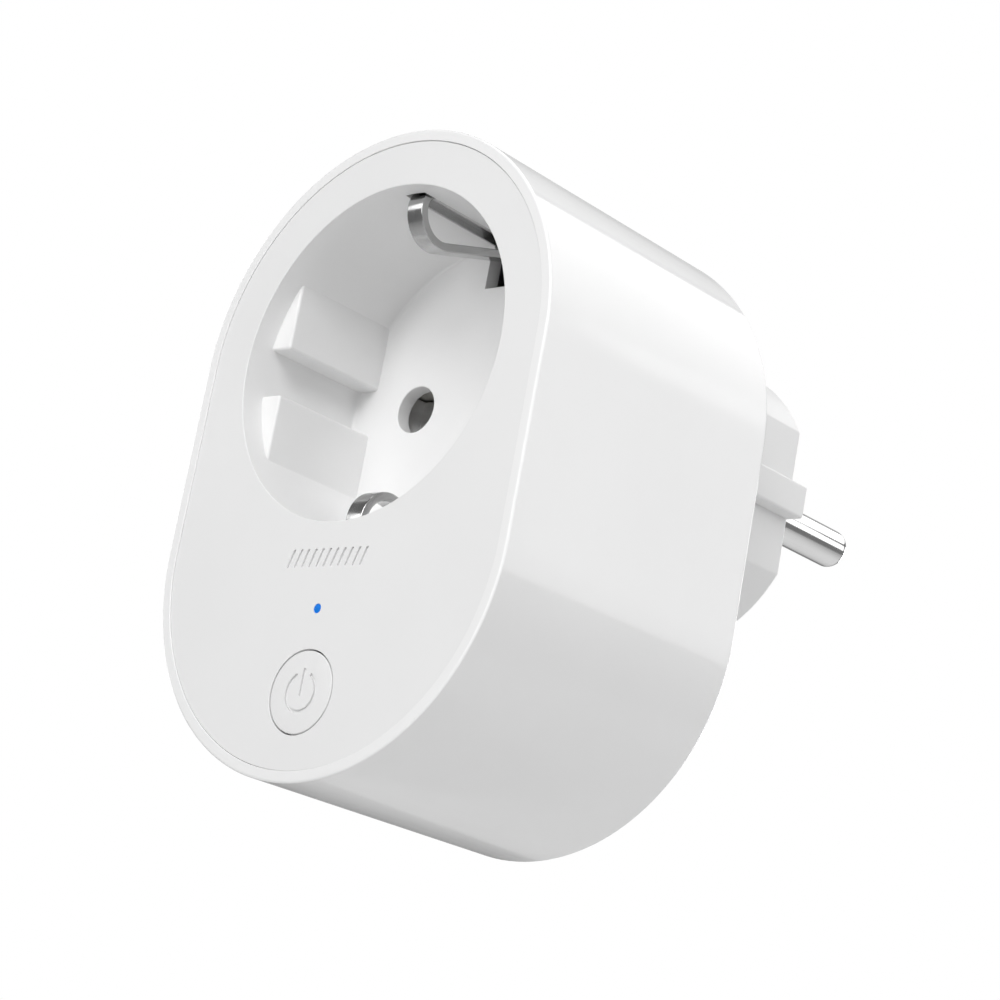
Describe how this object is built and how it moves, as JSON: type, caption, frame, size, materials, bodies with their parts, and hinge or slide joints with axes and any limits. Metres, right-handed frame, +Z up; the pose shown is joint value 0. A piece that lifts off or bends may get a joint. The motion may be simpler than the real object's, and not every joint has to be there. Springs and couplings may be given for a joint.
{
  "type": "smart plug",
  "caption": "Rounded white smart plug with an earthed socket well, power button and status lamp on the front, and two round pins on an earthed plug behind.",
  "frame": {"origin": "centre of the plug's end face, which seats on the floor of the wall socket, on the level of the contact pins", "axes": "+Y along the contact pins into the wall, -Y out of the front panel, +Z up as it hangs in use, +X to the right seen from the front"},
  "size_m": [0.0524, 0.0768, 0.0749],
  "materials": {
    "shell_plastic": "smooth white, satin gloss",
    "panel_plastic": "fine matt white",
    "inner_plastic": "moulded, matt",
    "lamp": "lit blue",
    "nickel": "bright nickel plate",
    "pin_plate": "polished plate",
    "copper": "bare copper",
    "brass": "bare brass",
    "steel": "zinc-plated steel",
    "board": "solder-mask green",
    "black_plastic": "moulded black",
    "relay_plastic": "blue case",
    "ferrite": "sintered dark grey",
    "tape": "yellow polyester tape",
    "can_sleeve": "shrunk dark sleeve",
    "ceramic": "dipped blue epoxy"
  },
  "bodies": {
    "root": {"outer_shell": "shell_plastic", "front_cover": "panel_plastic", "rear_cover": "shell_plastic", "key_switch_case": "black_plastic", "light_pipe": "lamp", "status_lamp_chip": "lamp", "contact_carrier": "inner_plastic", "live_contact": "nickel", "neutral_contact": "nickel", "carrier_screw_top": "steel", "carrier_screw_bottom": "steel", "live_pin": "pin_plate", "neutral_pin": "pin_plate", "pin_block": "black_plastic", "earth_clip_top": "nickel", "earth_clip_bottom": "nickel", "earth_bridge": "brass", "earth_side_contact_top": "nickel", "earth_side_contact_bottom": "nickel", "clip_rivet_top": "brass", "clip_rivet_bottom": "brass", "plug_rivet_top": "brass", "plug_rivet_bottom": "brass", "neutral_busbar": "copper", "live_input_busbar": "copper", "live_output_busbar": "copper", "power_board": "board", "control_board": "board", "power_board_screw_left": "steel", "power_board_screw_right": "steel", "control_board_screw_left": "steel", "control_board_screw_right": "steel", "relay_base": "black_plastic", "relay_case": "relay_plastic", "relay_coil": "copper", "relay_core": "steel", "relay_yoke": "steel", "relay_fixed_contact": "brass", "transformer_core": "ferrite", "transformer_winding": "tape", "filter_capacitor": "can_sleeve", "output_capacitor": "can_sleeve", "film_capacitor": "tape", "varistor": "ceramic", "fuse": "ceramic", "bridge_rectifier": "black_plastic", "metering_chip": "black_plastic", "current_shunt": "brass", "radio_module_board": "board", "radio_shield": "steel", "board_link": "black_plastic", "insulating_sheet": "inner_plastic"},
    "button": {"power_button": "panel_plastic"},
    "plunger": {"key_switch_plunger": "black_plastic"},
    "armature": {"relay_armature": "steel", "relay_moving_contact": "copper"}
  },
  "joints": [
    {"name": "button_press", "type": "slide", "parent": "root", "child": "button", "axis": [0, 1, 0], "range_m": [0, 0.00035], "stiffness_N_per_m": 3000, "springref_m": -0.0001},
    {"name": "plunger_press", "type": "slide", "parent": "root", "child": "plunger", "axis": [0, 1, 0], "range_m": [0, 0.00035]},
    {"name": "relay_pull", "type": "hinge", "parent": "root", "child": "armature", "pos_m": [0, -0.03765, -0.02415], "axis": [1, 0, 0], "range_deg": [0, 2.4], "stiffness_Nm_per_rad": 0.02, "springref_deg": -5.73}
  ],
  "couplings": [
    {"joint": "plunger_press", "follows": "button_press", "ratio": 1}
  ]
}
